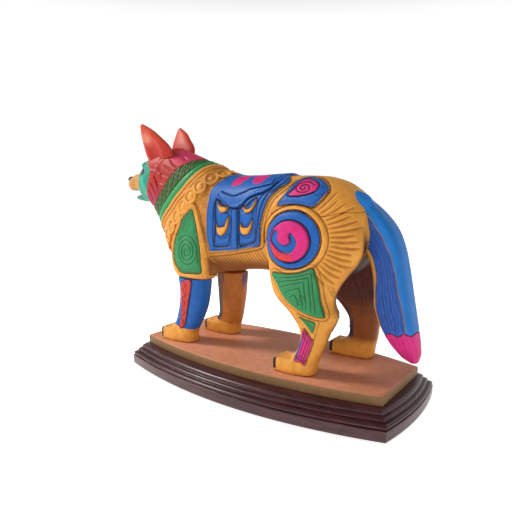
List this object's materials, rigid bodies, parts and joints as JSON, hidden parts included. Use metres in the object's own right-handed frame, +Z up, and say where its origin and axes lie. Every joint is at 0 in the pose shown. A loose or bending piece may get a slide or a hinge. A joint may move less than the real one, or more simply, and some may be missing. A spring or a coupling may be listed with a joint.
{
  "type": "painted animal figurine on a plinth",
  "caption": "Relief-carved and painted standing coyote figure with inlaid colour panels, fixed on a ground slab and a stepped plinth; rests on a flat felt pad.",
  "frame": {"origin": "middle of the plinth's plan, on the underside of the felt pad, which is the surface the object stands on", "axes": "+Z up; the animal looks along -X, its tail is at +X, its left side is at -Y"},
  "size_m": [0.3566, 0.158, 0.2534],
  "materials": {
    "felt": "dark green felt, matt",
    "plinth_stain": "dark mahogany stain under satin varnish",
    "ground_paint": "brown earth paint, hand brushed, satin",
    "gold_paint": "ochre gold paint with brown wash in the grooves, satin",
    "blue_paint": "blue paint with darker wash in the grooves, satin",
    "light_blue_paint": "light blue paint, satin",
    "magenta_paint": "magenta paint, satin",
    "green_paint": "green paint with darker wash, satin",
    "red_paint": "red paint fading to pink, satin",
    "head_paint": "turquoise and tan paint, satin",
    "black_gloss": "black gloss paint",
    "screw_steel": "zinc plated",
    "dowel_wood": "plain beech"
  },
  "bodies": {
    "root": {"base_screw_left_fore": "screw_steel", "base_screw_left_hind": "screw_steel", "base_screw_right_fore": "screw_steel", "base_screw_right_hind": "screw_steel", "felt_pad": "felt", "ground_slab": "ground_paint", "head": "head_paint", "hood": "red_paint", "left_crescent_lower_front": "gold_paint", "left_crescent_lower_rear": "gold_paint", "left_crescent_upper_front": "gold_paint", "left_crescent_upper_rear": "gold_paint", "left_ear": "red_paint", "left_eye": "black_gloss", "left_foreleg": "blue_paint", "left_foreleg_strip": "red_paint", "left_haunch_disc": "blue_paint", "left_haunch_spiral": "magenta_paint", "left_hind_leg": "gold_paint", "left_rump_teardrop": "blue_paint", "left_shin_panel": "magenta_paint", "left_shin_triangle": "green_paint", "left_shoulder_frame": "gold_paint", "left_shoulder_panel": "green_paint", "left_tail_panel": "blue_paint", "left_teardrop_spiral": "magenta_paint", "left_thigh_panel": "green_paint", "lower_jaw": "head_paint", "neck_dowel": "dowel_wood", "neck_scarf": "green_paint", "nose": "black_gloss", "plinth": "plinth_stain", "right_crescent_lower_front": "gold_paint", "right_crescent_lower_rear": "gold_paint", "right_crescent_upper_front": "gold_paint", "right_crescent_upper_rear": "gold_paint", "right_ear": "red_paint", "right_eye": "black_gloss", "right_foreleg": "gold_paint", "right_foreleg_strip": "red_paint", "right_haunch_disc": "blue_paint", "right_haunch_spiral": "magenta_paint", "right_hind_leg": "gold_paint", "right_rump_teardrop": "blue_paint", "right_shin_panel": "magenta_paint", "right_shin_triangle": "green_paint", "right_shoulder_frame": "gold_paint", "right_shoulder_panel": "green_paint", "right_tail_panel": "blue_paint", "right_teardrop_spiral": "magenta_paint", "right_thigh_panel": "green_paint", "saddle_blanket": "blue_paint", "scalloped_collar": "gold_paint", "tail_core": "gold_paint", "tail_dowel": "dowel_wood", "tail_tip": "magenta_paint", "tail_top_strip": "light_blue_paint", "torso": "gold_paint"}
  },
  "joints": []
}
